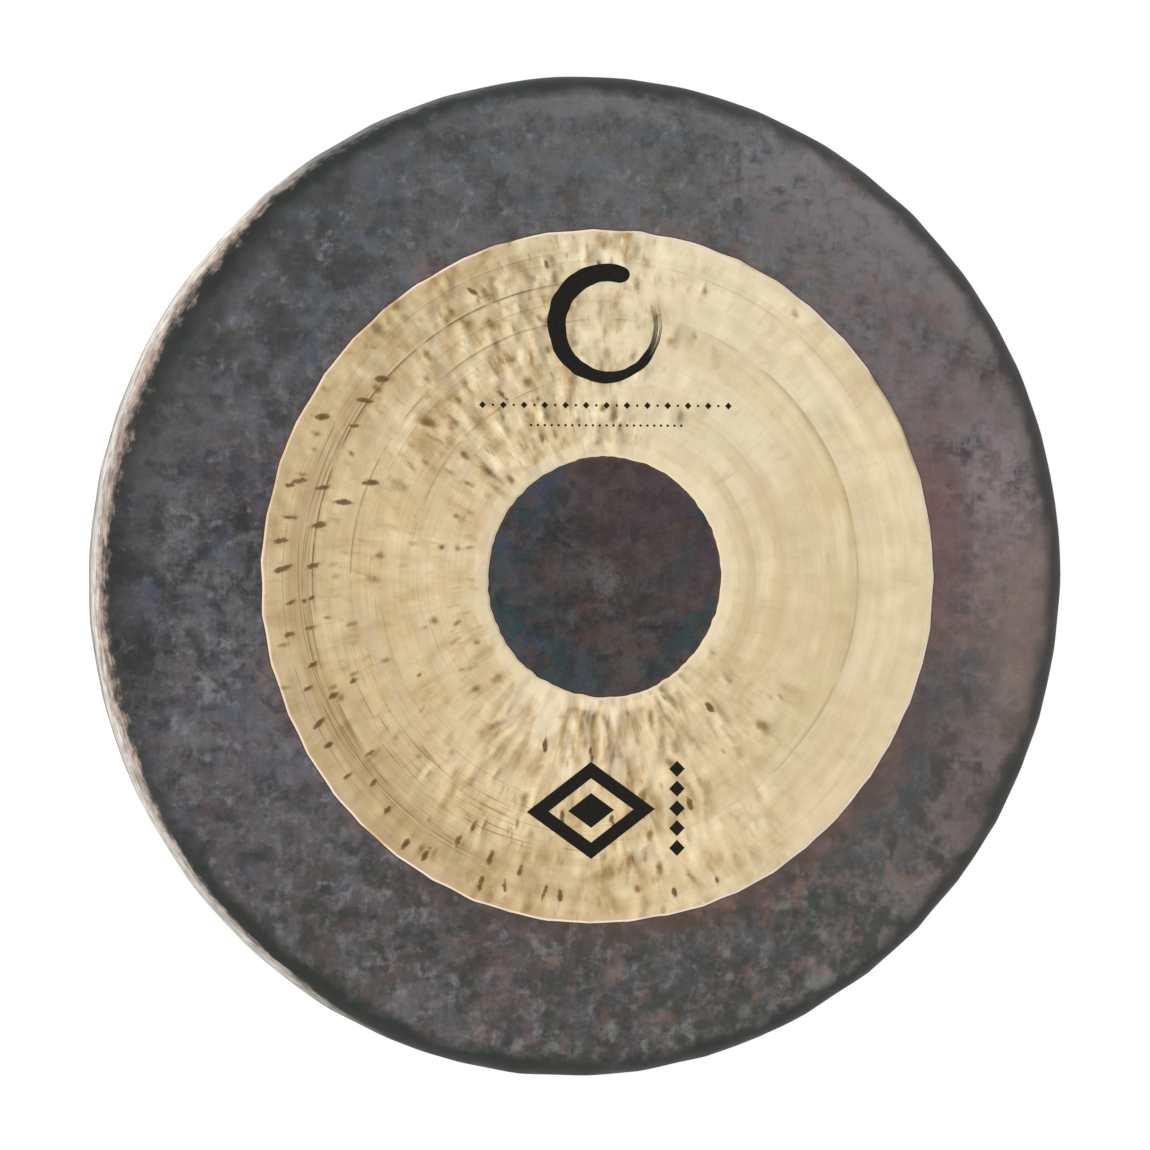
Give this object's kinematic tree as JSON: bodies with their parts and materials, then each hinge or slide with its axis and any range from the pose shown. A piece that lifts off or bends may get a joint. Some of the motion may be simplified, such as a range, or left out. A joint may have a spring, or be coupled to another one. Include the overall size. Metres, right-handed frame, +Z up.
{
  "type": "tam-tam gong",
  "caption": "Large flat hammered bronze gong with a turned-back rim, dark forge scale, a bright lathed band and two suspension holes.",
  "frame": {"origin": "on the gong's axis, half way between the front of the face and the back edge of the rim", "axes": "+Z up as the gong hangs; +Y along the gong's axis, from the face towards the rim's open back; the face looks towards -Y"},
  "size_m": [0.8598, 0.077, 0.8598],
  "materials": {
    "lathed_bronze": "satin, fine concentric lathe lines over hammer marks",
    "forge_scale_front": "satin, mottled grey, blue and rust-brown oxide",
    "forge_scale_back": "matte, mottled dark oxide",
    "printing_ink": "matte black screen-printed ink"
  },
  "bodies": {
    "root": {"bronze_plate": "lathed_bronze", "outer_scale_front": "forge_scale_front", "centre_scale_front": "forge_scale_front", "outer_scale_back": "forge_scale_back", "centre_scale_back": "forge_scale_back", "ink_brushed_ring": "printing_ink", "ink_upper_rule": "printing_ink", "ink_lower_rule": "printing_ink", "ink_lozenge": "printing_ink", "ink_diamond_column": "printing_ink"}
  },
  "joints": []
}
